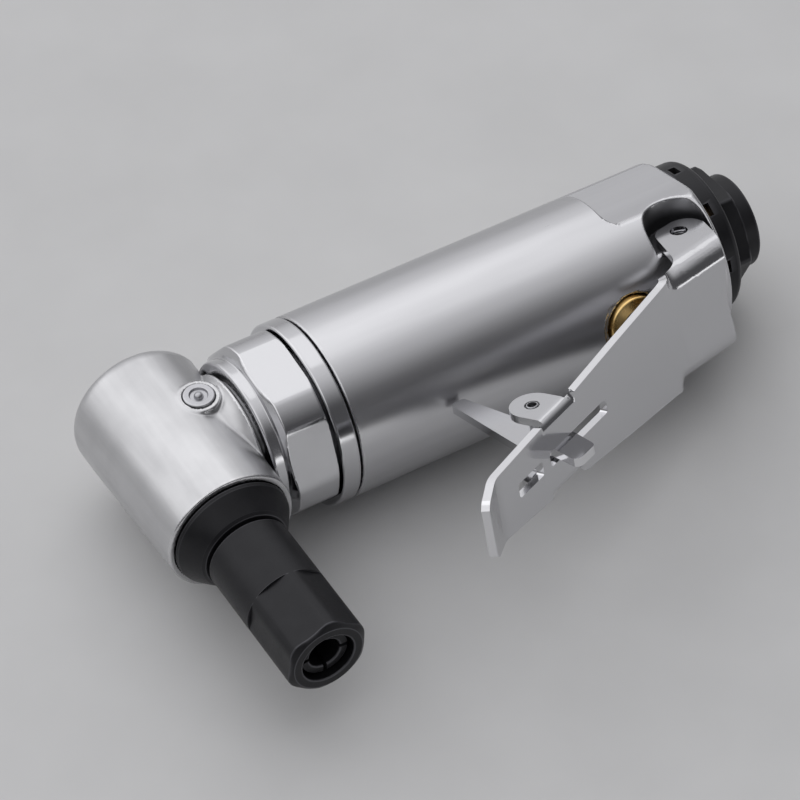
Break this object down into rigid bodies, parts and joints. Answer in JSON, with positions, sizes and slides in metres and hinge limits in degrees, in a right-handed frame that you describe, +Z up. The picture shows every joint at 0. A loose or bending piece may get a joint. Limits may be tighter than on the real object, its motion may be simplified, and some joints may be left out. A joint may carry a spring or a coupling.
{
  "type": "right-angle air die grinder",
  "caption": "Hand-held right-angle die grinder driven by compressed air, with a bevel-gear head, a collet chuck and a self-locking throttle lever.",
  "frame": {"origin": "middle of the underside of the tool's box, as it lies on its side", "axes": "+X along the motor axis towards the air inlet, -Y along the spindle out of the collet, +Z up"},
  "size_m": [0.143, 0.0834, 0.0442],
  "materials": {
    "satin_aluminium": "satin, lightly brushed casting",
    "satin_barrel": "satin, silver plated",
    "bright_chrome": "polished",
    "ground_steel": "fine ground",
    "black_oxide": "black oxide, satin",
    "brass": "turned",
    "bronze": "sintered, matt",
    "rubber": "matt",
    "vane_composite": "phenolic cloth laminate"
  },
  "bodies": {
    "housing": {"angle_head": "satin_aluminium", "motor_housing": "satin_barrel", "clamp_nut": "bright_chrome", "clamp_ring": "bright_chrome", "grease_fitting": "ground_steel", "spindle_front_bearing": "ground_steel", "spindle_rear_bearing": "ground_steel", "pinion_front_bearing": "ground_steel", "pinion_rear_bearing": "ground_steel", "pinion_bearing_spacer": "ground_steel", "neck_retaining_ring": "ground_steel", "motor_spacer": "ground_steel", "front_end_plate": "ground_steel", "rear_end_plate": "ground_steel", "cylinder_liner": "ground_steel", "alignment_pin": "ground_steel", "rotor_front_bearing": "ground_steel", "rotor_rear_bearing": "ground_steel", "valve_spring": "ground_steel", "lever_pin": "ground_steel", "front_cap": "black_oxide", "inlet_bushing": "black_oxide", "exhaust_deflector": "black_oxide", "valve_bushing": "brass", "inlet_screen": "brass", "exhaust_muffler": "bronze", "plunger_seal": "rubber"},
    "rotor_group": {"rotor": "ground_steel", "vane_1": "vane_composite", "vane_2": "vane_composite", "vane_3": "vane_composite", "vane_4": "vane_composite", "bevel_pinion": "ground_steel"},
    "spindle_group": {"spindle": "ground_steel", "bevel_gear": "ground_steel", "collet": "black_oxide", "collet_nut": "black_oxide"},
    "lever": {"throttle_lever": "bright_chrome", "lock_pin": "ground_steel", "lock_spring": "ground_steel"},
    "lock": {"lock_lever": "bright_chrome"},
    "plunger": {"valve_plunger": "ground_steel"}
  },
  "joints": [
    {"name": "lever_hinge", "type": "hinge", "parent": "housing", "child": "lever", "pos_m": [0.0498, 0.00828, 0.0232], "axis": [0, -0.309, -0.9511], "range_deg": [0, 14], "stiffness_Nm_per_rad": 0.4, "springref_deg": -14.32},
    {"name": "lock_hinge", "type": "hinge", "parent": "lever", "child": "lock", "pos_m": [-0.00259, -0.01967, 0.03228], "axis": [0, 0.309, 0.9511], "range_deg": [0, 98]},
    {"name": "plunger_slide", "type": "slide", "parent": "housing", "child": "plunger", "axis": [0, 0.9511, -0.309], "range_m": [0, 0.0049], "deforming": ["valve_spring"]},
    {"name": "rotor_spin", "type": "hinge", "parent": "housing", "child": "rotor_group", "pos_m": [-0.0575, 0.02121, 0.019], "axis": [1, 0, 0], "continuous": true},
    {"name": "spindle_spin", "type": "hinge", "parent": "housing", "child": "spindle_group", "pos_m": [-0.0575, 0.02121, 0.019], "axis": [0, -1, 0], "continuous": true}
  ],
  "couplings": [
    {"joint": "lock_hinge", "follows": "lever_hinge", "ratio": 7},
    {"joint": "plunger_slide", "follows": "lever_hinge", "m_per_rad": 0.01965},
    {"joint": "spindle_spin", "follows": "rotor_spin", "ratio": 0.75}
  ]
}
